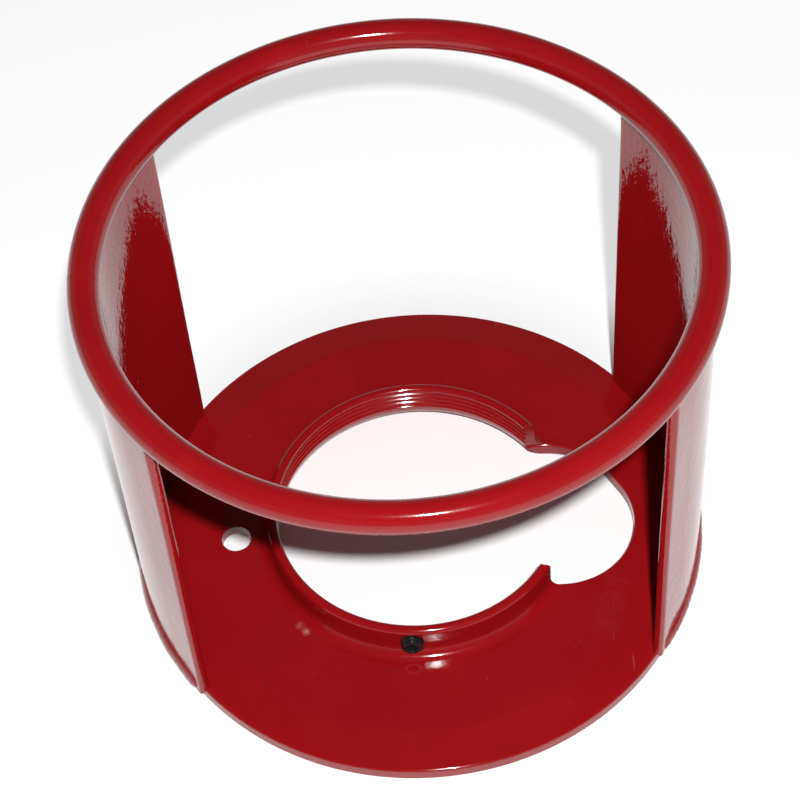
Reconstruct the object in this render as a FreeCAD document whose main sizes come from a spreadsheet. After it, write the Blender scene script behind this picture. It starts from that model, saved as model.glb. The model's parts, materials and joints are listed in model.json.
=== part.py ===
import FreeCAD, Part
import Sketcher
import math
import os
import re

# Valve guard for a gas cylinder: a pressed base plate with a drawn-up, threaded neck, two curved side
# plates standing on the base, and a round bar ring on top of them. Everything is welded and painted,
# and one hex socket set screw through the neck wall locks the guard on the cylinder's neck ring.
# Millimetres. Origin on the neck's axis at the height of the base's lower edge, +Z up along the neck,
# -Y towards the set screw, +X towards the open side of the neck.

SIZES = {
    # base plate: flat out to a crease, then a rim that slopes down over the cylinder's shoulder
    "base_thickness": 4.0,
    "rim_width": 11.0,
    "rim_drop": 2.0,
    # neck drawn up out of the base plate, bored to the minor diameter of its internal thread
    "bore_radius": 38.52,
    "neck_wall": 2.8,
    "neck_height": 15.8,
    "mouth_bend": 6.0,
    "foot_bend": 2.0,
    "neck_top_round": 1.2,
    "bore_chamfer": 0.35,
    # oblong cutout in the base, which opens the neck's wall too: a round cutter set near the bore's
    # edge and moved over a little
    "cutout_radius": 20.7,
    "cutout_inset": 0.1,
    "cutout_direction": -4.0,
    "cutout_stretch": 5.4,
    "cutout_lean": 119.0,
    # drain hole
    "drain_radius": 4.0,
    "drain_margin": 3.2,
    # side plates, which stand out a little over the base plate's edge
    "side_thickness": 3.0,
    "side_overhang": 0.7,
    "side_span": 76.0,
    # top ring, bent from round bar and closed by a butt weld
    "bar_radius": 4.0,
    "ring_radius": 75.0,
    "ring_height": 119.2,
    "ring_joint_width": 2.5,
    # weld seams
    "seam_setback": 2.0,
    "base_seam_leg": 4.2,
    "base_seam_drop": 1.7,
    "base_seam_crown": 2.2,
    "ring_seam_leg": 3.0,
    "ring_seam_reach": 50.0,
    "ring_seam_crown": 0.35,
    # set screw with a dog point
    "screw_radius": 3.0,
    "screw_length": 5.0,
    "screw_clearance": 0.05,
    "screw_height": 11.2,
    "screw_direction": -96.0,
    "screw_inset": 0.2,
    "screw_chamfer": 0.5,
    "point_radius": 2.0,
    "point_length": 1.5,
    "socket_flats": 3.0,
    "socket_depth": 2.4,
}

# what follows from the sizes above
SIDE_INNER = "(ring_radius - side_thickness / 2)"
SIDE_OUTER = "(ring_radius + side_thickness / 2)"
SIDE_TOP = "(ring_height - bar_radius)"
BASE_RADIUS = f"({SIDE_OUTER} - side_overhang)"
CREASE_RADIUS = f"({BASE_RADIUS} - rim_width)"
FLAT_TOP = "(rim_drop + base_thickness)"
NECK_OUTER = "(bore_radius + neck_wall)"
FOOT_RADIUS = f"({NECK_OUTER} + foot_bend)"
JOINT_ANGLE = "(ring_joint_width / ring_radius * 180 / pi)"
SEAM_SPAN = "(side_span - 2 * seam_setback)"
DRAIN_DISTANCE = f"({FOOT_RADIUS} + drain_margin + drain_radius)"


def rim_top(radius):
    """Height of the sloping rim's upper face at a radius."""
    return f"({FLAT_TOP} - ({radius} - {CREASE_RADIUS}) * rim_drop / rim_width)"


def polar(radius, angle):
    """A corner given by its distance from the origin and its angle in degrees."""
    return f"({radius}) * cos({angle})", f"({radius}) * sin({angle})"


def shifted(corner, distance, angle):
    """A corner moved by a distance along an angle in degrees."""
    across, up = polar(distance, angle)
    return f"{corner[0]} + {across}", f"{corner[1]} + {up}"


def crowned(across, up, crown):
    """Radius of the arc that stands a given height above a chord."""
    return f"((({across}) ^ 2 + ({up}) ^ 2) / (8 * {crown}) + {crown} / 2)"


doc = FreeCAD.newDocument("valve_guard")
sheet = doc.addObject("Spreadsheet::Sheet", "Sizes")
for row, (alias, value) in enumerate(SIZES.items(), start=1):
    sheet.set(f"A{row}", alias)
    sheet.set(f"B{row}", str(value))
    sheet.setAlias(f"B{row}", alias)
doc.recompute()


def sized(formula):
    """Turn the plain size names in a formula into references to the sheet."""
    return re.sub("[a-z_]+", lambda word: f"Sizes.{word[0]}" if word[0] in SIZES else word[0], formula)


def number(formula):
    """The present value of a formula."""
    return float(sheet.evalExpression(sized(formula)))


def new_body(label):
    body = doc.addObject("PartDesign::Body", label)
    body.Label = label
    return body


def new_sketch(body, name, plane):
    sketch = body.newObject("Sketcher::SketchObject", name)
    planes = {feature.Role: feature for feature in body.Origin.OriginFeatures}
    sketch.AttachmentSupport = [(planes[plane], "")]
    sketch.MapMode = "FlatFace"
    return sketch


def bind(sketch, constraint, formula):
    """Add a dimension whose value follows a formula."""
    index = sketch.addConstraint(constraint)
    sketch.setExpression(f"Constraints[{index}]", sized(formula))


def place_point(sketch, side, end, corner):
    """Fix one point of a sketch by its two distances from the sketch's origin."""
    for kind, formula in zip(("DistanceX", "DistanceY"), corner):
        bind(sketch, Sketcher.Constraint(kind, -1, 1, side, end, number(formula)), formula)


def direction_of(vector):
    return math.atan2(vector.y, vector.x)


def arc_between(start, end, radius, left):
    """The shorter arc between two points, bulging to the left or the right of the way between them."""
    chord = end - start
    rise = math.sqrt(max(radius**2 - (chord.Length / 2) ** 2, 0.0))
    normal = FreeCAD.Vector(-chord.y, chord.x, 0).normalize()
    centre = (start + end) * 0.5 - normal * (rise if left else -rise)
    first, last = (end, start) if left else (start, end)
    circle = Part.Circle(centre, FreeCAD.Vector(0, 0, 1), radius)
    return Part.ArcOfCircle(circle, direction_of(first - centre), direction_of(last - centre))


def outline(body, name, plane, corners, arcs=None):
    """A closed sketch through corners, each a pair of formulas.

    arcs gives, for the number of a side, its radius and whether it bulges to the left.
    """
    arcs = arcs or {}
    sketch = new_sketch(body, name, plane)
    points = [FreeCAD.Vector(number(across), number(up), 0) for across, up in corners]
    for side, start in enumerate(points):
        end = points[(side + 1) % len(points)]
        if side in arcs:
            radius, left = arcs[side]
            sketch.addGeometry(arc_between(start, end, number(radius), left), False)
        else:
            sketch.addGeometry(Part.LineSegment(start, end), False)
    turned_round = {side for side, (radius, left) in arcs.items() if left}
    for side, corner in enumerate(corners):
        after = (side + 1) % len(corners)
        this_end = 1 if side in turned_round else 2
        next_start = 2 if after in turned_round else 1
        sketch.addConstraint(Sketcher.Constraint("Coincident", side, this_end, after, next_start))
        place_point(sketch, side, 3 - this_end, corner)
    for side, (radius, left) in arcs.items():
        bind(sketch, Sketcher.Constraint("Radius", side, number(radius)), radius)
    return sketch


def circle_sketch(body, name, plane, centre, radius):
    sketch = new_sketch(body, name, plane)
    middle = FreeCAD.Vector(number(centre[0]), number(centre[1]), 0)
    sketch.addGeometry(Part.Circle(middle, FreeCAD.Vector(0, 0, 1), number(radius)), False)
    place_point(sketch, 0, 3, centre)
    bind(sketch, Sketcher.Constraint("Radius", 0, number(radius)), radius)
    return sketch


def revolve(body, name, sketch, span=None):
    """Turn a sketch about its vertical axis, all the way or over a span centred on the sketch."""
    feature = body.newObject("PartDesign::Revolution", name)
    feature.Profile = sketch
    feature.ReferenceAxis = (sketch, ["V_Axis"])
    if span:
        feature.Midplane = True
        feature.setExpression("Angle", sized(span))
    doc.recompute()
    return feature


def cut_through(body, name, sketch):
    """Cut a sketch of the horizontal plane through the body, both ways."""
    before = body.Shape.Volume
    feature = body.newObject("PartDesign::Pocket", name)
    feature.Profile = sketch
    feature.Type = "ThroughAll"
    feature.Midplane = True
    doc.recompute()
    if body.Shape.Volume >= before:
        raise RuntimeError(f"{name} cuts nothing")


def turn_to_left(body):
    """Turn a piece from the +X side to the -X side."""
    body.Placement = FreeCAD.Placement(FreeCAD.Vector(), FreeCAD.Rotation(FreeCAD.Vector(0, 0, 1), 180))


def screw_placement(start):
    """Formula of a placement on the set screw's axis, starting at a distance from the neck's axis."""
    across, along = polar(start, "screw_direction")
    axis = "vector(-sin(screw_direction); cos(screw_direction); 0)"
    return f"placement(vector({across}; {along}; screw_height); rotation({axis}; 90))"


def base_plate():
    body = new_body("base_plate")
    profile = outline(
        body,
        "plate_profile",
        "XZ_Plane",
        [
            ("bore_radius + mouth_bend", "rim_drop"),
            (CREASE_RADIUS, "rim_drop"),
            (BASE_RADIUS, "0"),
            (BASE_RADIUS, "base_thickness"),
            (CREASE_RADIUS, FLAT_TOP),
            (FOOT_RADIUS, FLAT_TOP),
            (NECK_OUTER, f"{FLAT_TOP} + foot_bend"),
            (NECK_OUTER, "neck_height - neck_top_round"),
            (f"{NECK_OUTER} - neck_top_round", "neck_height"),
            ("bore_radius + bore_chamfer", "neck_height"),
            ("bore_radius", "neck_height - bore_chamfer"),
            ("bore_radius", "rim_drop + mouth_bend"),
        ],
        {5: ("foot_bend", True), 7: ("neck_top_round", False), 11: ("mouth_bend", False)},
    )
    revolve(body, "plate_with_neck", profile)
    cut_through(body, "cutout", cutout_sketch(body))
    drain = circle_sketch(body, "drain_circle", "XY_Plane", (f"-{DRAIN_DISTANCE}", "0"), "drain_radius")
    cut_through(body, "drain_hole", drain)
    cut_screw_hole(body)
    return body


def cutout_sketch(body):
    """Oblong outline: half a circle at each end of the cutter's way, joined by straight sides."""
    start = polar("bore_radius - cutout_inset", "cutout_direction")
    end = shifted(start, "cutout_stretch", "cutout_lean")
    corners = [shifted(start, "cutout_radius", f"cutout_lean {turn}") for turn in ("- 90", "+ 180", "+ 90")]
    corners += [shifted(end, "cutout_radius", f"cutout_lean {turn}") for turn in ("+ 90", "+ 0", "- 90")]
    rounded = ("cutout_radius", True)
    return outline(body, "cutout_outline", "XY_Plane", corners, {0: rounded, 1: rounded, 3: rounded, 4: rounded})


def cut_screw_hole(body):
    before = body.Shape.Volume
    hole = body.newObject("PartDesign::SubtractiveCylinder", "screw_hole")
    hole.setExpression("Radius", sized("screw_radius + screw_clearance"))
    hole.setExpression("Height", sized("neck_wall + 2 * foot_bend"))
    hole.setExpression("Placement", sized(screw_placement("bore_radius - foot_bend")))
    doc.recompute()
    if body.Shape.Volume >= before:
        raise RuntimeError("screw_hole cuts nothing")


def side_plate(label):
    body = new_body(label)
    section = outline(
        body,
        f"{label}_section",
        "XZ_Plane",
        [
            (SIDE_INNER, rim_top(SIDE_INNER)),
            (SIDE_OUTER, rim_top(SIDE_OUTER)),
            (SIDE_OUTER, SIDE_TOP),
            (SIDE_INNER, SIDE_TOP),
        ],
    )
    revolve(body, f"{label}_bent", section, "side_span")
    return body


def bar_piece(label, span):
    """A stretch of the top ring's round bar."""
    body = new_body(label)
    section = circle_sketch(body, f"{label}_section", "XZ_Plane", ("ring_radius", "ring_height"), "bar_radius")
    revolve(body, f"{label}_bent", section, span)
    return body


def base_weld(label):
    """Bead between a side plate's outer face and the base plate's edge."""
    body = new_body(label)
    slope = "side_overhang * rim_drop / rim_width"
    crown = crowned("side_overhang", f"base_seam_leg + base_seam_drop - {slope}", "base_seam_crown")
    section = outline(
        body,
        f"{label}_section",
        "XZ_Plane",
        [
            (SIDE_OUTER, f"{rim_top(SIDE_OUTER)} + base_seam_leg"),
            (SIDE_OUTER, rim_top(SIDE_OUTER)),
            (BASE_RADIUS, "base_thickness"),
            (BASE_RADIUS, "base_thickness - base_seam_drop"),
        ],
        {3: (crown, False)},
    )
    revolve(body, f"{label}_bead", section, SEAM_SPAN)
    return body


def ring_weld(label):
    """Bead between a side plate's outer face and the underside of the top ring."""
    body = new_body(label)
    reach_across = "bar_radius * sin(ring_seam_reach)"
    reach_up = "bar_radius * cos(ring_seam_reach)"
    crown = crowned(
        f"{reach_across} - side_thickness / 2",
        f"bar_radius - {reach_up} + ring_seam_leg",
        "ring_seam_crown",
    )
    section = outline(
        body,
        f"{label}_section",
        "XZ_Plane",
        [
            (SIDE_OUTER, f"{SIDE_TOP} - ring_seam_leg"),
            (SIDE_OUTER, SIDE_TOP),
            ("ring_radius", SIDE_TOP),
            (f"ring_radius + {reach_across}", f"ring_height - {reach_up}"),
        ],
        {2: ("bar_radius", False), 3: (crown, True)},
    )
    revolve(body, f"{label}_bead", section, SEAM_SPAN)
    return body


def set_screw():
    """Modelled along +Z from its point, then laid on the axis of its hole."""
    body = new_body("set_screw")
    shank = outline(
        body,
        "screw_profile",
        "XZ_Plane",
        [
            ("0", "0"),
            ("point_radius", "0"),
            ("point_radius", "point_length"),
            ("screw_radius - screw_chamfer", "point_length"),
            ("screw_radius", "point_length + screw_chamfer"),
            ("screw_radius", "screw_length - screw_chamfer"),
            ("screw_radius - screw_chamfer", "screw_length"),
            ("0", "screw_length"),
        ],
    )
    revolve(body, "screw_shank", shank)
    hexagon = [polar("socket_flats / sqrt(3)", str(60 * corner)) for corner in range(6)]
    socket_outline = outline(body, "socket_outline", "XY_Plane", hexagon)
    socket_outline.setExpression("AttachmentOffset.Base.z", sized("screw_length"))
    before = body.Shape.Volume
    socket = body.newObject("PartDesign::Pocket", "socket")
    socket.Profile = socket_outline
    socket.setExpression("Length", sized("socket_depth"))
    doc.recompute()
    if body.Shape.Volume >= before:
        raise RuntimeError("socket cuts nothing")
    body.setExpression("Placement", sized(screw_placement("bore_radius - screw_inset")))
    return body


def check_document(pieces):
    failed = [item.Label for item in doc.Objects if {"Invalid", "Error"} & set(item.State)]
    if failed:
        raise RuntimeError(f"not computed: {failed}")
    for piece in pieces:
        if piece.Shape.isNull() or not piece.Shape.isValid() or len(piece.Shape.Solids) != 1:
            raise RuntimeError(f"{piece.Label} is not one valid solid")


right_pieces = [side_plate("right_side_plate"), base_weld("right_base_weld"), ring_weld("right_ring_weld")]
left_pieces = [
    side_plate("left_side_plate"),
    base_weld("left_base_weld"),
    ring_weld("left_ring_weld"),
    bar_piece("ring_butt_weld", JOINT_ANGLE),
]
for piece in left_pieces:
    turn_to_left(piece)
pieces = [base_plate(), bar_piece("top_ring", f"360 - {JOINT_ANGLE}"), set_screw()]
pieces += right_pieces + left_pieces

doc.recompute()
check_document(pieces)
os.makedirs("parts", exist_ok=True)
for piece in pieces:
    piece.Shape.exportStep(f"parts/{piece.Label}.step")
    box = piece.Shape.BoundBox
    print(f"{piece.Label}: {piece.Shape.Volume:.0f} mm3, z {box.ZMin:.2f} to {box.ZMax:.2f}")
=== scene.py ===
import json
import math

import bpy
from mathutils import Matrix, Vector, noise


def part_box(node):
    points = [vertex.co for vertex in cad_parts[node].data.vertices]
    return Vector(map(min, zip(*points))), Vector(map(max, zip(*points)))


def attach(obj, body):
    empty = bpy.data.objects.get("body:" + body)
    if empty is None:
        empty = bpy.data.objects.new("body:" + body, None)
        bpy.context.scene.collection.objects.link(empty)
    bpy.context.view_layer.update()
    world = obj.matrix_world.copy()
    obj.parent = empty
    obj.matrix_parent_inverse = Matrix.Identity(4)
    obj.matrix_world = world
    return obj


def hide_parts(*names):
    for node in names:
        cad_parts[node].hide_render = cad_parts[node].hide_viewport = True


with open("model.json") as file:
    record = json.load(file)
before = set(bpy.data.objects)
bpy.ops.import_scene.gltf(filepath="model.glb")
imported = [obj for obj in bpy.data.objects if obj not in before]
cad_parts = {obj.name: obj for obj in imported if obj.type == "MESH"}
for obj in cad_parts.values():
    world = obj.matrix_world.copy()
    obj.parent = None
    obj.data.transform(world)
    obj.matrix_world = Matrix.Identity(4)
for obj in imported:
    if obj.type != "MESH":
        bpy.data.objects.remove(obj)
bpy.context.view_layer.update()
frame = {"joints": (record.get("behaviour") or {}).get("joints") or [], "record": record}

# A welded, painted valve guard for a gas cylinder: base plate with a threaded neck, two side plates, a top
# ring, the weld beads and a set screw. Metres, in the frame's own axes: +Z up along the neck, -Y towards
# the set screw, +X towards the open side of the neck.

MM = 0.001
FULL_TURN = 2 * math.pi

# sizes read from the frame
mounts = {mount["name"]: mount for mount in frame["record"]["mounts"]}
base_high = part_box("base_plate")[1]
ring_low, ring_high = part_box("top_ring")
side_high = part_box("right_side_plate")[1]
screw_low, screw_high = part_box("set_screw")
BORE = mounts["neck_thread"]["dims"]["r_mm"] * MM
DRAIN = mounts["drain_hole"]["dims"]["r_mm"] * MM
DRAIN_CENTRE = Vector(mounts["drain_hole"]["pos_m"])
BASE_THICKNESS = mounts["drain_hole"]["dims"]["length_mm"] * MM
FLAT_BOTTOM = mounts["underside"]["pos_m"][2]
FLAT_TOP = FLAT_BOTTOM + BASE_THICKNESS
NECK_TOP = base_high.z
BASE_RADIUS = base_high.y
BAR_RADIUS = (ring_high.z - ring_low.z) / 2
RING_HEIGHT = ring_low.z + BAR_RADIUS
RING_RADIUS = ring_high.x - BAR_RADIUS
SIDE_OUTER = side_high.x
SIDE_INNER = 2 * RING_RADIUS - SIDE_OUTER
SIDE_TOP = side_high.z
SIDE_HALF_ANGLE = math.asin(side_high.y / SIDE_OUTER)
SCREW_INWARD = Vector(frame["joints"][0]["axis"])
SCREW_HEIGHT = (screw_low.z + screw_high.z) / 2
SCREW_RADIUS = (screw_high.z - screw_low.z) / 2

# sizes of the base plate and neck that the frame's boxes don't give
RIM_WIDTH = 11.0 * MM
CREASE = BASE_RADIUS - RIM_WIDTH
NECK_WALL = 2.8 * MM
NECK_OUTER = BORE + NECK_WALL
MOUTH_BEND = 6.0 * MM
FOOT_BEND = 3.2 * MM
NECK_TOP_ROUND = 1.35 * MM
BORE_TOP_ROUND = 1.1 * MM
CREASE_ROUND = 12.0 * MM
RIM_LOWER_ROUND = 0.5 * MM
RIM_UPPER_ROUND = 0.7 * MM
CUT_EDGE_ROUND = 0.5 * MM

# oblong cutout: the way of a round cutter, which starts near the bore's edge
CUTOUT = 20.7 * MM
CUTOUT_INSET = 0.1 * MM
CUTOUT_DIRECTION = math.radians(-4)
CUTOUT_STRETCH = 5.4 * MM
CUTOUT_LEAN = math.radians(119)
CUTOUT_START = Matrix.Rotation(CUTOUT_DIRECTION, 2) @ Vector((BORE - CUTOUT_INSET, 0))
CUTOUT_END = CUTOUT_START + Matrix.Rotation(CUTOUT_LEAN, 2) @ Vector((CUTOUT_STRETCH, 0))

# thread in the neck, 14 turns to the inch
NECK_PITCH = 25.4 * MM / 14
NECK_THREAD_DEPTH = 0.8 * MM
THREAD_RUN_OUT = 0.7 * MM
THREAD_WEAR = 0.02 * MM

# set screw, M6 with a dog point
SCREW_LENGTH = 5.0 * MM
SCREW_INSET = 0.2 * MM
SCREW_PITCH = 1.0 * MM
SCREW_THREAD_DEPTH = 0.61 * MM
SCREW_CHAMFER = 0.55 * MM
POINT_RADIUS = 2.0 * MM
POINT_LENGTH = 1.5 * MM
SOCKET_FLATS = 3.0 * MM
SOCKET_DEPTH = 2.4 * MM
HOLE_CLEARANCE = 0.05 * MM

# side plates: rolled sheet, whose last stretch stays nearly straight
PLATE_EDGE_ROUND = 1.1 * MM
PLATE_STRAIGHT_END = 11.0 * MM
PLATE_WAVE = 0.22 * MM
PLATE_RIPPLE = 0.03 * MM
WELD_HOLDS = 12 * MM

# weld seams
SEAM_SUNK = 0.15 * MM
SEAM_END = 2.6 * MM
SEAM_SETBACK = math.radians(1.2)
BASE_SEAM_LEG = 4.2 * MM
BASE_SEAM_DROP = 1.7 * MM
BASE_SEAM_CROWN = 1.6 * MM
RING_SEAM_LEG = 3.0 * MM
RING_SEAM_REACH = math.radians(50)
RING_SEAM_CROWN = 0.35 * MM
RIPPLE_PITCH = 2.3 * MM
JOINT_HALF_WIDTH = 1.6 * MM

# how finely round shapes are divided
TURNS = 480
ARC_STEPS = 6


def smooth_step(value):
    value = min(max(value, 0.0), 1.0)
    return value * value * (3 - 2 * value)


def rim_top(radius):
    """Height of the sloping rim's upper face at a radius."""
    return FLAT_TOP - (radius - CREASE) * FLAT_BOTTOM / RIM_WIDTH


def arc_points(centre, radius, start, end, steps=ARC_STEPS):
    """Points along an arc, in whatever plane the centre is given."""
    angles = [start + (end - start) * step / steps for step in range(steps + 1)]
    return [(centre[0] + radius * math.cos(a), centre[1] + radius * math.sin(a)) for a in angles]


def rounded(corners, steps=ARC_STEPS):
    """A closed outline through corners (across, up, radius), each replaced by a tangent arc."""
    points = []
    for index, (across, up, radius) in enumerate(corners):
        here = Vector((across, up))
        before = (Vector(corners[index - 1][:2]) - here).normalized()
        after = (Vector(corners[(index + 1) % len(corners)][:2]) - here).normalized()
        half = before.angle(after) / 2
        centre = here + (before + after).normalized() * radius / math.sin(half)
        first = here + before * radius / math.tan(half) - centre
        last = here + after * radius / math.tan(half) - centre
        start = math.atan2(first.y, first.x)
        turn = math.remainder(math.atan2(last.y, last.x) - start, FULL_TURN)
        points += arc_points(centre, radius, start, start + turn, steps)
    return points


def mesh_object(name, points, faces, sharp=30):
    """A smooth-shaded mesh object, with edges kept sharp above an angle in degrees."""
    mesh = bpy.data.meshes.new(name)
    mesh.from_pydata(points, [], faces)
    mesh.validate()
    mesh.polygons.foreach_set("use_smooth", [True] * len(mesh.polygons))
    mesh.set_sharp_from_angle(angle=math.radians(sharp))
    piece = bpy.data.objects.new(name, mesh)
    bpy.context.scene.collection.objects.link(piece)
    return piece


def grid(name, rows, close_rows, ends=False, sharp=30):
    """A mesh through rows of points. Each row is a closed loop; the rows may close on themselves too."""
    across = len(rows[0])
    points = [point for row in rows for point in row]
    faces = []
    for row in range(len(rows) if close_rows else len(rows) - 1):
        here, after = row * across, (row + 1) % len(rows) * across
        for column in range(across):
            beside = (column + 1) % across
            faces.append((here + column, here + beside, after + beside, after + column))
    if ends:
        faces.append(tuple(range(across - 1, -1, -1)))
        faces.append(tuple((len(rows) - 1) * across + column for column in range(across)))
    return mesh_object(name, points, faces, sharp)


def cut(piece, cutter):
    """Take a cutter out of a piece for good."""
    modifier = piece.modifiers.new("cut", "BOOLEAN")
    modifier.operation = "DIFFERENCE"
    modifier.solver = "EXACT"
    modifier.object = cutter
    evaluated = piece.evaluated_get(bpy.context.evaluated_depsgraph_get())
    result = bpy.data.meshes.new_from_object(evaluated)
    piece.modifiers.clear()
    piece.data = result
    bpy.data.objects.remove(cutter)


def finish_cut_piece(piece, sharp=35):
    """Shade a cut piece so that its flat faces stay flat up to their rounded edges."""
    piece.data.polygons.foreach_set("use_smooth", [True] * len(piece.data.polygons))
    piece.data.set_sharp_from_angle(angle=math.radians(sharp))
    weighted = piece.modifiers.new("flat_faces", "WEIGHTED_NORMAL")
    weighted.keep_sharp = True
    weighted.weight = 80


def thread_wave(along, angle, pitch):
    """0 on a thread's inner edge and 1 on its outer edge, right-handed along its axis."""
    return 0.5 - 0.5 * math.cos(FULL_TURN * along / pitch - angle)


# ---------------------------------------------------------------- base plate and neck


def base_profile():
    """Outline of the plate and neck, from the mouth of the neck round to the top of its bore."""
    return rounded(
        [
            (BORE, FLAT_BOTTOM, MOUTH_BEND),
            (CREASE, FLAT_BOTTOM, CREASE_ROUND),
            (BASE_RADIUS, 0.0, RIM_LOWER_ROUND),
            (BASE_RADIUS, BASE_THICKNESS, RIM_UPPER_ROUND),
            (CREASE, FLAT_TOP, CREASE_ROUND),
            (NECK_OUTER, FLAT_TOP, FOOT_BEND),
            (NECK_OUTER, NECK_TOP, NECK_TOP_ROUND),
            (BORE, NECK_TOP, BORE_TOP_ROUND),
        ]
    )


def base_plate():
    profile = base_profile()
    bore_top, bore_bottom = profile[-1][1], profile[0][1]
    thread_rows = 84
    bore = [bore_top + (bore_bottom - bore_top) * row / thread_rows for row in range(1, thread_rows)]
    rows = []
    for turn in range(TURNS):
        angle = FULL_TURN * turn / TURNS
        loop = list(profile)
        for height in bore:
            fade = smooth_step(min(bore_top - height, height - bore_bottom) / THREAD_RUN_OUT)
            groove = NECK_THREAD_DEPTH * fade * thread_wave(height, angle, NECK_PITCH)
            wear = THREAD_WEAR * noise.noise(Vector((angle * 9, height / (0.9 * MM), 0)))
            loop.append((BORE + groove + wear * fade, height))
        rows.append([(r * math.cos(angle), r * math.sin(angle), z) for r, z in loop])
    piece = grid("painted_base_plate", rows, close_rows=True)
    cut(piece, oblong_cutter())
    cut(piece, drain_cutter())
    cut(piece, screw_hole_cutter())
    finish_cut_piece(piece)
    return piece


def edge_levels(edge, side, extra=0.0):
    """Heights across a rounded edge, with how far a cutter widens at each. side points into the metal."""
    levels = []
    for step in range(6):
        inside = CUT_EDGE_ROUND * math.sin(math.pi / 2 * step / 5)
        widening = CUT_EDGE_ROUND - math.sqrt(CUT_EDGE_ROUND**2 - inside**2)
        levels.append((edge + side * (CUT_EDGE_ROUND - inside), extra + widening))
    return sorted(levels)


def plate_levels():
    """Levels of a cutter from below the plate to the plate's upper face."""
    return [(-5 * MM, CUT_EDGE_ROUND)] + edge_levels(FLAT_BOTTOM, 1) + edge_levels(FLAT_TOP, -1)


def drain_cutter():
    """A cylinder that flares at both faces of the plate."""
    rows = []
    for height, extra in plate_levels() + [(NECK_TOP, CUT_EDGE_ROUND)]:
        circle = arc_points(DRAIN_CENTRE, DRAIN + extra, 0, FULL_TURN * 59 / 60, 59)
        rows.append([(x, y, height) for x, y in circle])
    return grid("drain_cutter", rows, close_rows=False, ends=True)


def oblong_cutter():
    """The cutter that opens the base and the neck's wall, flared at each face it leaves."""
    quarter = math.pi / 2
    levels = plate_levels() + edge_levels(NECK_TOP, -1, CUT_EDGE_ROUND)
    rows = []
    for height, extra in levels + [(NECK_TOP + 5 * MM, 2 * CUT_EDGE_ROUND)]:
        reach = CUTOUT + extra
        first = arc_points(CUTOUT_START, reach, CUTOUT_LEAN + quarter, CUTOUT_LEAN + 3 * quarter, 150)
        last = arc_points(CUTOUT_END, reach, CUTOUT_LEAN - quarter, CUTOUT_LEAN + quarter, 150)
        rows.append([(x, y, height) for x, y in first + last])
    return grid("oblong_cutter", rows, close_rows=False, ends=True)


def along_screw(distance):
    """Matrix of a frame on the screw's axis, its Z pointing away from the neck's axis."""
    outward = -SCREW_INWARD
    turn = outward.to_track_quat("Z", "Y").to_matrix().to_4x4()
    return Matrix.Translation(outward * distance + Vector((0, 0, SCREW_HEIGHT))) @ turn


def screw_hole_cutter():
    hole = SCREW_RADIUS + HOLE_CLEARANCE
    stations = [(-3.0, 0.0), (NECK_WALL / MM - 0.35, 0.0), (NECK_WALL / MM + 0.05, 0.3), (6.0, 0.3)]
    rows = []
    for along, extra in stations:
        circle = [FULL_TURN * step / 64 for step in range(64)]
        radius = hole + extra * MM
        rows.append([(radius * math.cos(a), radius * math.sin(a), along * MM) for a in circle])
    cutter = grid("screw_hole_cutter", rows, close_rows=False, ends=True)
    cutter.data.transform(along_screw(BORE))
    return cutter


# ---------------------------------------------------------------- side plates and top ring


def plate_corner(radius, angle, edge_angle, quarter):
    """Section points (radius, angle) round one of a plate's four rounded corners."""
    points = []
    for step in range(ARC_STEPS + 1):
        turn = math.pi / 2 * (quarter + step / ARC_STEPS)
        points.append((radius + PLATE_EDGE_ROUND * math.cos(turn), angle + edge_angle * math.sin(turn)))
    return points


def side_plate(name, middle):
    """A bent sheet with rounded edges, straighter ends and the slight waves that rolling leaves in it."""
    across, up = 110, 64
    edge_angle = PLATE_EDGE_ROUND / SIDE_OUTER
    straight = SIDE_HALF_ANGLE - edge_angle
    shares = [-1 + 2 * step / across for step in range(1, across)]
    outer, inner = SIDE_OUTER - PLATE_EDGE_ROUND, SIDE_INNER + PLATE_EDGE_ROUND
    section = [(SIDE_OUTER, share * straight) for share in shares]
    section += plate_corner(outer, straight, edge_angle, 0)
    section += plate_corner(inner, straight, edge_angle, 1)
    section += [(SIDE_INNER, -share * straight) for share in shares]
    section += plate_corner(inner, -straight, edge_angle, 2)
    section += plate_corner(outer, -straight, edge_angle, 3)
    into_ring = 0.4 * MM
    rows = []
    for level in range(up + 1):
        row = []
        for radius, angle in section:
            low = rim_top(radius) - 0.05 * MM
            height = low + (SIDE_TOP + into_ring - low) * level / up
            place = Vector((angle * SIDE_OUTER / (34 * MM), height / (46 * MM), middle))
            held = smooth_step((height - low) / WELD_HOLDS) * smooth_step((SIDE_TOP - height) / WELD_HOLDS)
            wave = PLATE_WAVE * noise.noise(place) * held
            wave += PLATE_RIPPLE * noise.noise(place * 3.7) * held
            straight_end = max(PLATE_STRAIGHT_END - (SIDE_HALF_ANGLE - abs(angle)) * SIDE_OUTER, 0.0)
            bent = radius + wave + straight_end**2 / (2 * SIDE_OUTER)
            turned = middle + angle
            row.append((bent * math.cos(turned), bent * math.sin(turned), height))
        rows.append(row)
    return grid(name, rows, close_rows=False, ends=True, sharp=50)


def bar_ring(name, start, end, swell):
    """A stretch of the ring's bar, its radius less than the CAD bar's by what swell gives."""
    closed = end - start >= FULL_TURN
    steps = max(12, round((end - start) / FULL_TURN * 420))
    rows = []
    for step in range(steps if closed else steps + 1):
        angle = start + (end - start) * step / steps
        row = []
        for minor in range(40):
            tilt = FULL_TURN * minor / 40
            bar = BAR_RADIUS - swell(angle, tilt)
            radius = RING_RADIUS + bar * math.cos(tilt)
            height = RING_HEIGHT + bar * math.sin(tilt)
            row.append((radius * math.cos(angle), radius * math.sin(angle), height))
        rows.append(row)
    return grid(name, rows, close_rows=closed, ends=not closed, sharp=60)


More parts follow.
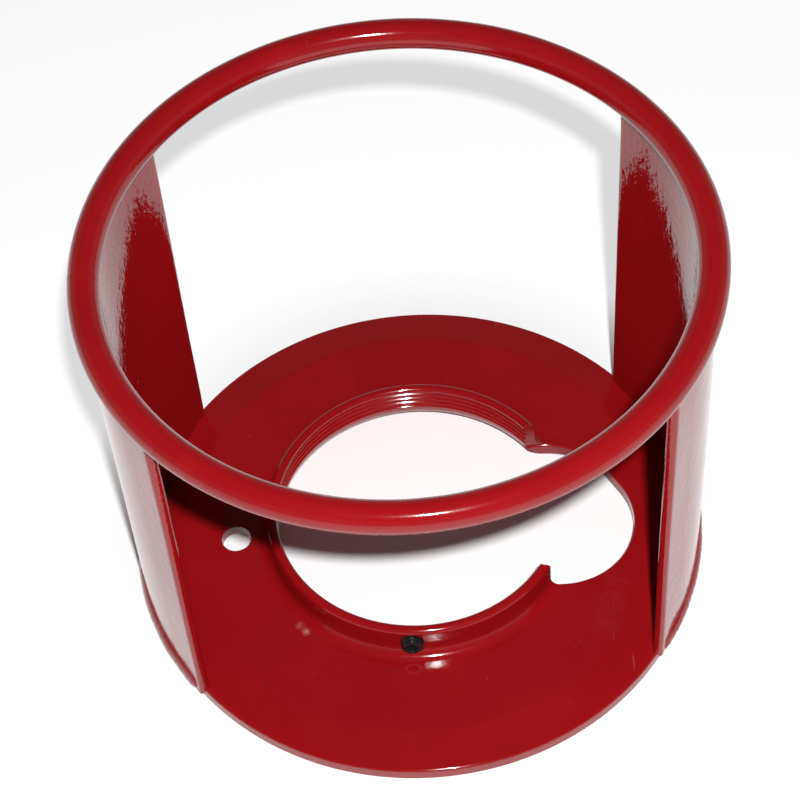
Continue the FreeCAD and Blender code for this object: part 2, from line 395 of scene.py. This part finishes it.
def bar_surface(angle, tilt):
    """Hand-bent bar: its surface wanders by a few hundredths of a millimetre."""
    place = Vector((math.cos(angle), math.sin(angle), 0)) * (RING_RADIUS / (22 * MM))
    ripple = noise.noise(place + Vector((0, 0, 0.7 * math.sin(tilt)))) + 0.4 * noise.noise(place * 4)
    return (0.055 + 0.035 * ripple) * MM


def joint_surface(angle, tilt):
    """The ring's butt weld, ground back and painted over: a low uneven collar."""
    across = (angle - math.pi) * RING_RADIUS / JOINT_HALF_WIDTH
    crown = 1 - across**2
    lump = noise.noise(Vector((math.cos(tilt) * 2.2, math.sin(tilt) * 2.2, across)))
    return (0.1 - 0.1 * crown + 0.03 * (lump + 1) * crown) * MM


# ---------------------------------------------------------------- weld beads


def bead(name, middle, top, bottom, corner, crown, ripple):
    """A rippled bead between a top and a bottom line, closed behind at a hidden corner."""
    half_span = SIDE_HALF_ANGLE - SEAM_SETBACK
    steps, face = 330, 14
    rows = []
    for step in range(steps + 1):
        angle = -half_span + 2 * half_span * step / steps
        arc = angle * SIDE_OUTER
        to_end = (half_span * SIDE_OUTER - abs(arc)) / SEAM_END
        shrink = math.sqrt(max(1 - max(1 - to_end, 0.0) ** 2, 0.0004))
        drift = noise.noise(Vector((arc / (9 * MM), middle, crown / MM)))
        leg = 1 + 0.10 * drift
        upper = corner + (top - corner) * shrink * leg
        lower = corner + (bottom - corner) * shrink * (2 - leg)
        chord = lower - upper
        out = Vector((-chord.y, chord.x)).normalized()
        row = []
        for point in range(face + 1):
            share = point / face
            hump = 4 * share * (1 - share)
            wander = 0.5 * noise.noise(Vector((arc / (5 * MM), middle * 3, 7.3)))
            phase = (arc + 0.9 * MM * hump) / RIPPLE_PITCH + wander
            scallop = abs(math.sin(math.pi * phase)) ** 0.7 - 0.65
            height = crown * hump**0.75 * (1 + 0.12 * drift) + ripple * scallop * hump
            place = upper + chord * share + out * height * shrink
            row.append((place.x, place.y))
        row.append((corner.x, corner.y))
        turned = middle + angle
        rows.append([(r * math.cos(turned), r * math.sin(turned), z) for r, z in row])
    return grid(name, rows, close_rows=False, ends=True, sharp=70)


def base_bead(name, middle):
    return bead(
        name,
        middle,
        top=Vector((SIDE_OUTER - SEAM_SUNK, rim_top(SIDE_OUTER) + BASE_SEAM_LEG)),
        bottom=Vector((BASE_RADIUS - SEAM_SUNK, BASE_THICKNESS - BASE_SEAM_DROP)),
        corner=Vector((BASE_RADIUS - SEAM_SUNK, BASE_THICKNESS)),
        crown=BASE_SEAM_CROWN,
        ripple=0.12 * MM,
    )


def ring_bead(name, middle):
    reach = BAR_RADIUS - SEAM_SUNK
    across, down = reach * math.sin(RING_SEAM_REACH), reach * math.cos(RING_SEAM_REACH)
    return bead(
        name,
        middle,
        top=Vector((RING_RADIUS + across, RING_HEIGHT - down)),
        bottom=Vector((SIDE_OUTER - SEAM_SUNK, SIDE_TOP - RING_SEAM_LEG)),
        corner=Vector((SIDE_OUTER - SEAM_SUNK, SIDE_TOP + 0.2 * MM)),
        crown=RING_SEAM_CROWN,
        ripple=0.1 * MM,
    )


# ---------------------------------------------------------------- set screw


def set_screw():
    """Modelled along +Z from its point, then laid on the axis of its hole."""
    shank_low, shank_high = POINT_LENGTH, SCREW_LENGTH
    stations = [(0.0001 * MM, 0.0), (POINT_RADIUS - 0.25 * MM, 0.0), (POINT_RADIUS, 0.25 * MM)]
    stations += [(POINT_RADIUS, POINT_LENGTH)]
    threads = 70
    for row in range(threads + 1):
        height = shank_low + (shank_high - shank_low) * row / threads
        stations.append((None, height))
    rows = []
    for turn in range(72):
        angle = FULL_TURN * turn / 72
        line = []
        for radius, height in stations:
            if radius is None:
                ends = min(height - shank_low, shank_high - height)
                widest = SCREW_RADIUS - max(SCREW_CHAMFER - ends, 0.0)
                root = SCREW_RADIUS - SCREW_THREAD_DEPTH
                radius = root + SCREW_THREAD_DEPTH * thread_wave(height, angle, SCREW_PITCH)
                radius = min(radius, widest)
            line.append((radius * math.cos(angle), radius * math.sin(angle), height))
        rows.append(line)
    rows = [list(column) for column in zip(*rows)]
    piece = grid("hex_socket_set_screw", rows, close_rows=False, ends=True, sharp=40)
    cut(piece, socket_cutter())
    piece.data.transform(along_screw(BORE - SCREW_INSET))
    piece.data.polygons.foreach_set("use_smooth", [True] * len(piece.data.polygons))
    piece.data.set_sharp_from_angle(angle=math.radians(40))
    return piece


def socket_cutter():
    """A hexagon with a countersunk mouth and the shallow cone that a drill leaves at the bottom."""
    across_corners = SOCKET_FLATS / math.sqrt(3)
    floor = SCREW_LENGTH - SOCKET_DEPTH
    levels = [
        (0.02, floor - 0.25 * MM),
        (1.0, floor),
        (1.0, SCREW_LENGTH - 0.15 * MM),
        (1.12, SCREW_LENGTH + 0.05 * MM),
        (1.12, SCREW_LENGTH + 1.0 * MM),
    ]
    rows = []
    for share, height in levels:
        corners = [FULL_TURN * corner / 6 + 0.35 for corner in range(6)]
        size = across_corners * share
        rows.append([(size * math.cos(a), size * math.sin(a), height) for a in corners])
    return grid("socket_cutter", rows, close_rows=False, ends=True)


# ---------------------------------------------------------------- materials


class Nodes:
    """A short way to build one material's node tree."""

    def __init__(self, name):
        self.material = bpy.data.materials.new(name)
        self.material.use_nodes = True
        self.tree = self.material.node_tree
        self.shader = self.tree.nodes["Principled BSDF"]
        self.place = self.add("ShaderNodeTexCoord").outputs["Object"]

    def add(self, kind, inputs=None, **settings):
        node = self.tree.nodes.new(kind)
        for key, value in settings.items():
            setattr(node, key, value)
        for key, value in (inputs or {}).items():
            if isinstance(value, bpy.types.NodeSocket):
                self.tree.links.new(value, node.inputs[key])
            else:
                node.inputs[key].default_value = value
        return node

    def to_shader(self, key, value):
        if isinstance(value, bpy.types.NodeSocket):
            self.tree.links.new(value, self.shader.inputs[key])
        else:
            self.shader.inputs[key].default_value = value

    def noise(self, size, detail=2.0, roughness=0.5, place=None):
        """Noise whose features are about this size in metres."""
        inputs = {"Vector": place or self.place, "Scale": 1 / size}
        inputs.update({"Detail": detail, "Roughness": roughness})
        return self.add("ShaderNodeTexNoise", inputs).outputs["Fac"]

    def stretched(self, scale, turn=(0, 0, 0)):
        inputs = {"Vector": self.place, "Scale": scale, "Rotation": turn}
        return self.add("ShaderNodeMapping", inputs).outputs["Vector"]

    def ramp(self, value, low, high, out_low=0.0, out_high=1.0):
        inputs = {
            "Value": value,
            "From Min": low,
            "From Max": high,
            "To Min": out_low,
            "To Max": out_high,
        }
        return self.add("ShaderNodeMapRange", inputs).outputs["Result"]

    def math(self, operation, first, second):
        return self.add("ShaderNodeMath", {0: first, 1: second}, operation=operation).outputs["Value"]

    def mix(self, share, first, second):
        node = self.add("ShaderNodeMix", data_type="RGBA")
        for key, value in zip(("Factor", "A", "B"), (share, first, second)):
            socket = next(s for s in node.inputs if s.name == key and (key == "Factor" or s.type == "RGBA"))
            if isinstance(value, bpy.types.NodeSocket):
                self.tree.links.new(value, socket)
            else:
                socket.default_value = value
        return next(s for s in node.outputs if s.type == "RGBA")

    def bump(self, height, distance, strength=1.0, below=None):
        inputs = {"Height": height, "Distance": distance, "Strength": strength}
        if below:
            inputs["Normal"] = below
        return self.add("ShaderNodeBump", inputs).outputs["Normal"]


PAINT = (0.262, 0.0042, 0.0062, 1)
PAINT_THIN = (0.31, 0.008, 0.010, 1)
PAINT_THICK = (0.238, 0.0036, 0.0056, 1)
# lighter colour of scratches and dust nibs, also laid on as painted sheen in the lighter patches
DUST_AND_SHEEN = (0.5, 0.2, 0.19, 1)


def red_paint(name, peel, haze=0.075, on_weld=False, sheen_and_scuffs=()):
    """Glossy sprayed enamel: orange peel, uneven thickness, dust nibs, fine handling scratches and lighter
    patches of painted sheen.

    peel is the depth of the orange peel in millimetres and haze the roughness where the gloss is best.
    The patch list gives the centre, radius and strength of each patch painted in a lighter colour: a
    painted sheen, also made rougher as by scuffing.
    """
    nodes = Nodes(name)
    cloud = nodes.noise(24 * MM, detail=3.0)
    colour = nodes.mix(nodes.ramp(cloud, 0.35, 0.7), PAINT_THICK, PAINT)
    streak = nodes.noise(1.0, detail=3.0, place=nodes.stretched((55, 55, 14), (0.1, 0.15, 0.0)))
    colour = nodes.mix(nodes.ramp(streak, 0.6, 0.85, 0.0, 0.5), colour, PAINT_THIN)

    scratch = nodes.noise(1.0, detail=1.0, place=nodes.stretched((900, 60, 200), (0.5, 0.3, 0.6)))
    where = nodes.ramp(nodes.noise(14 * MM, detail=2.0), 0.55, 0.68)
    scratch = nodes.math("MULTIPLY", nodes.ramp(scratch, 0.745, 0.80), where)
    nib = nodes.add("ShaderNodeTexVoronoi", {"Vector": nodes.place, "Scale": 1 / (3.1 * MM)})
    nib_where = nodes.ramp(nodes.noise(9 * MM), 0.5, 0.72)
    nibs = nodes.math("MULTIPLY", nodes.ramp(nib.outputs["Distance"], 0.10, 0.04), nib_where)
    marks_and_sheen = nodes.math("MAXIMUM", nodes.math("MULTIPLY", scratch, 0.25), nodes.math("MULTIPLY", nibs, 0.16))
    roughness = nodes.ramp(nodes.noise(7 * MM, detail=4.0), 0.3, 0.7, haze, haze * 1.7)
    # patches painted lighter: painted sheen, with rougher paint as from scuffing
    for centre, radius, strength in sheen_and_scuffs:
        away = nodes.add("ShaderNodeVectorMath", {0: nodes.place, 1: centre}, operation="DISTANCE")
        patch = nodes.ramp(away.outputs["Value"], radius, 0.0)
        patch_speckle = nodes.noise(0.8 * MM, detail=4.0, roughness=0.6)
        patch = nodes.math("MULTIPLY", patch, nodes.ramp(patch_speckle, 0.35, 0.7))
        marks_and_sheen = nodes.math("MAXIMUM", marks_and_sheen, nodes.math("MULTIPLY", patch, strength))
    colour = nodes.mix(marks_and_sheen, colour, DUST_AND_SHEEN)
    roughness = nodes.math("ADD", roughness, nodes.math("MULTIPLY", marks_and_sheen, 0.5))
    nodes.to_shader("Base Color", colour)
    nodes.to_shader("Roughness", roughness)
    nodes.to_shader("IOR", 1.5)

    peel_height = nodes.noise(2.3 * MM, detail=2.5, roughness=0.55)
    normal = nodes.bump(peel_height, peel * MM)
    normal = nodes.bump(nibs, 0.02 * MM, 0.6, normal)
    if on_weld:
        spatter = nodes.noise(1.1 * MM, detail=3.0, roughness=0.6)
        normal = nodes.bump(spatter, 0.10 * MM, 1.0, normal)
    nodes.to_shader("Normal", normal)
    return nodes.material


def black_oxide():
    """Blackened alloy steel, slightly oily, with a breath of red overspray."""
    nodes = Nodes("black_oxide_steel")
    tone = nodes.noise(1.4 * MM, detail=4.0)
    colour = nodes.mix(nodes.ramp(tone, 0.3, 0.7), (0.006, 0.006, 0.007, 1), (0.028, 0.026, 0.027, 1))
    spray = nodes.ramp(nodes.noise(0.7 * MM, detail=3.0), 0.62, 0.74)
    colour = nodes.mix(nodes.math("MULTIPLY", spray, 0.55), colour, (0.12, 0.006, 0.008, 1))
    nodes.to_shader("Base Color", colour)
    nodes.to_shader("Metallic", 0.55)
    nodes.to_shader("Roughness", nodes.ramp(nodes.noise(0.5 * MM), 0.3, 0.7, 0.2, 0.38))
    nodes.to_shader("Normal", nodes.bump(nodes.noise(0.25 * MM, detail=3.0), 0.008 * MM))
    return nodes.material


def floor_paper():
    nodes = Nodes("studio_paper")
    fibre = nodes.noise(2.0 * MM, detail=4.0)
    away = nodes.add("ShaderNodeVectorMath", {0: nodes.place, 1: (0, 0, 0)}, operation="LENGTH")
    open_floor = nodes.ramp(away.outputs["Value"], BASE_RADIUS, BASE_RADIUS + 25 * MM)
    nodes.to_shader("Base Color", nodes.mix(open_floor, (0.92, 0.925, 0.925, 1), (0.40, 0.40, 0.40, 1)))
    nodes.to_shader("Emission Color", (1, 1, 1, 1))
    nodes.to_shader("Emission Strength", nodes.math("MULTIPLY", open_floor, 0.66))
    nodes.to_shader("Roughness", 0.9)
    nodes.to_shader("Normal", nodes.bump(fibre, 0.01 * MM, 0.4))
    return nodes.material


# ---------------------------------------------------------------- studio


def studio_world():
    """White walls low down and a dark ceiling, so that flat glossy faces stay deep red."""
    world = bpy.data.worlds.new("studio")
    world.use_nodes = True
    tree = world.node_tree
    place = tree.nodes.new("ShaderNodeTexCoord")
    split = tree.nodes.new("ShaderNodeSeparateXYZ")
    ramp = tree.nodes.new("ShaderNodeValToRGB")
    tree.links.new(place.outputs["Generated"], split.inputs[0])
    tree.links.new(split.outputs["Z"], ramp.inputs[0])
    tree.links.new(ramp.outputs["Color"], tree.nodes["Background"].inputs["Color"])
    stops = ramp.color_ramp.elements
    stops[0].position, stops[0].color = 0.30, (0.22, 0.22, 0.224, 1)
    stops[1].position, stops[1].color = 0.62, (0.05, 0.05, 0.052, 1)
    bpy.context.scene.world = world


def area_light(name, azimuth, elevation, distance, size, power):
    """A round lamp aimed at the object. Azimuth 0 is on the -Y side, 90 on the +X side."""
    turn, lift = math.radians(azimuth), math.radians(elevation)
    back = Vector((math.sin(turn) * math.cos(lift), -math.cos(turn) * math.cos(lift), math.sin(lift)))
    lamp = bpy.data.lights.new(name, "AREA")
    lamp.shape = "DISK"
    lamp.size = size
    lamp.energy = power
    holder = bpy.data.objects.new(name, lamp)
    aim = Vector((0, 0, 40 * MM))
    holder.location = aim + back * distance
    holder.rotation_mode = "QUATERNION"
    holder.rotation_quaternion = (-back).to_track_quat("-Z", "Y")
    bpy.context.scene.collection.objects.link(holder)


def floor():
    reach, drop = 3.0, 0.05 * MM  # just below the guard's lowest edge
    square = [(-reach, -reach), (reach, -reach), (reach, reach), (-reach, reach)]
    corners = [(x, y, -drop) for x, y in square]
    piece = mesh_object("studio_floor", corners, [(0, 1, 2, 3)])
    piece.data.materials.append(floor_paper())


def camera():
    """Looking down into the guard from the front, a little rolled."""
    lens = bpy.data.cameras.new("photo_camera")
    lens.sensor_width = 36.0
    lens.lens = 107.95
    lens.clip_end = 20
    holder = bpy.data.objects.new("photo_camera", lens)
    stand = Matrix.Translation((0, -371.9 * MM, 553.7 * MM))
    turn = Matrix.Rotation(math.radians(0.351), 4, "Z")
    tilt = Matrix.Rotation(math.radians(90 - 52.86), 4, "X")
    roll = Matrix.Rotation(math.radians(-4.981), 4, "Z")
    holder.matrix_world = stand @ turn @ tilt @ roll
    bpy.context.scene.collection.objects.link(holder)
    bpy.context.scene.camera = holder


# ---------------------------------------------------------------- the guard, piece by piece


def dress(piece, node, material, body="guard"):
    """Let a piece stand for its CAD node, wear its material and ride on its body."""
    piece.data.materials.clear()
    piece.data.materials.append(material)
    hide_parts(node)
    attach(piece, body)


RIGHT, LEFT = 0.0, math.pi
# patches painted lighter on the base's top: the three wide faint ones beside the cutout are painted sheen,
# and the two small strong ones lie near the neck's foot; all are rougher too
sheen_and_scuff_patches = [
    ((52 * MM, -24 * MM, FLAT_TOP), 5.5 * MM, 0.045),
    ((50 * MM, -30 * MM, FLAT_TOP), 5.5 * MM, 0.06),
    ((47.5 * MM, -36 * MM, FLAT_TOP), 5.5 * MM, 0.05),
    ((-34 * MM, -30 * MM, FLAT_TOP), 1.6 * MM, 0.6),
    ((-32.5 * MM, -32 * MM, FLAT_TOP), 1.6 * MM, 0.9),
]
base_paint = red_paint("red_paint_base", peel=0.020, sheen_and_scuffs=sheen_and_scuff_patches)
plate_paint = red_paint("red_paint_plates", peel=0.085, haze=0.04)
ring_paint = red_paint("red_paint_ring", peel=0.020)
weld_paint = red_paint("red_paint_on_weld", peel=0.030, on_weld=True)

dress(base_plate(), "base_plate", base_paint)
dress(bar_ring("bar_ring", 0, FULL_TURN, bar_surface), "top_ring", ring_paint)
joint_half = JOINT_HALF_WIDTH / RING_RADIUS
joint = bar_ring("ring_joint_weld", LEFT - joint_half, LEFT + joint_half, joint_surface)
dress(joint, "ring_butt_weld", ring_paint)
for side, middle in (("right", RIGHT), ("left", LEFT)):
    dress(side_plate(f"{side}_bent_plate", middle), f"{side}_side_plate", plate_paint)
    dress(base_bead(f"{side}_base_bead", middle), f"{side}_base_weld", weld_paint)
    dress(ring_bead(f"{side}_ring_bead", middle), f"{side}_ring_weld", weld_paint)
dress(set_screw(), "set_screw", black_oxide(), body="set_screw")

floor()
studio_world()
area_light("key_light", azimuth=4, elevation=56.6, distance=0.76, size=0.02, power=7.4)
camera()
bpy.context.scene.view_settings.view_transform = "Standard"
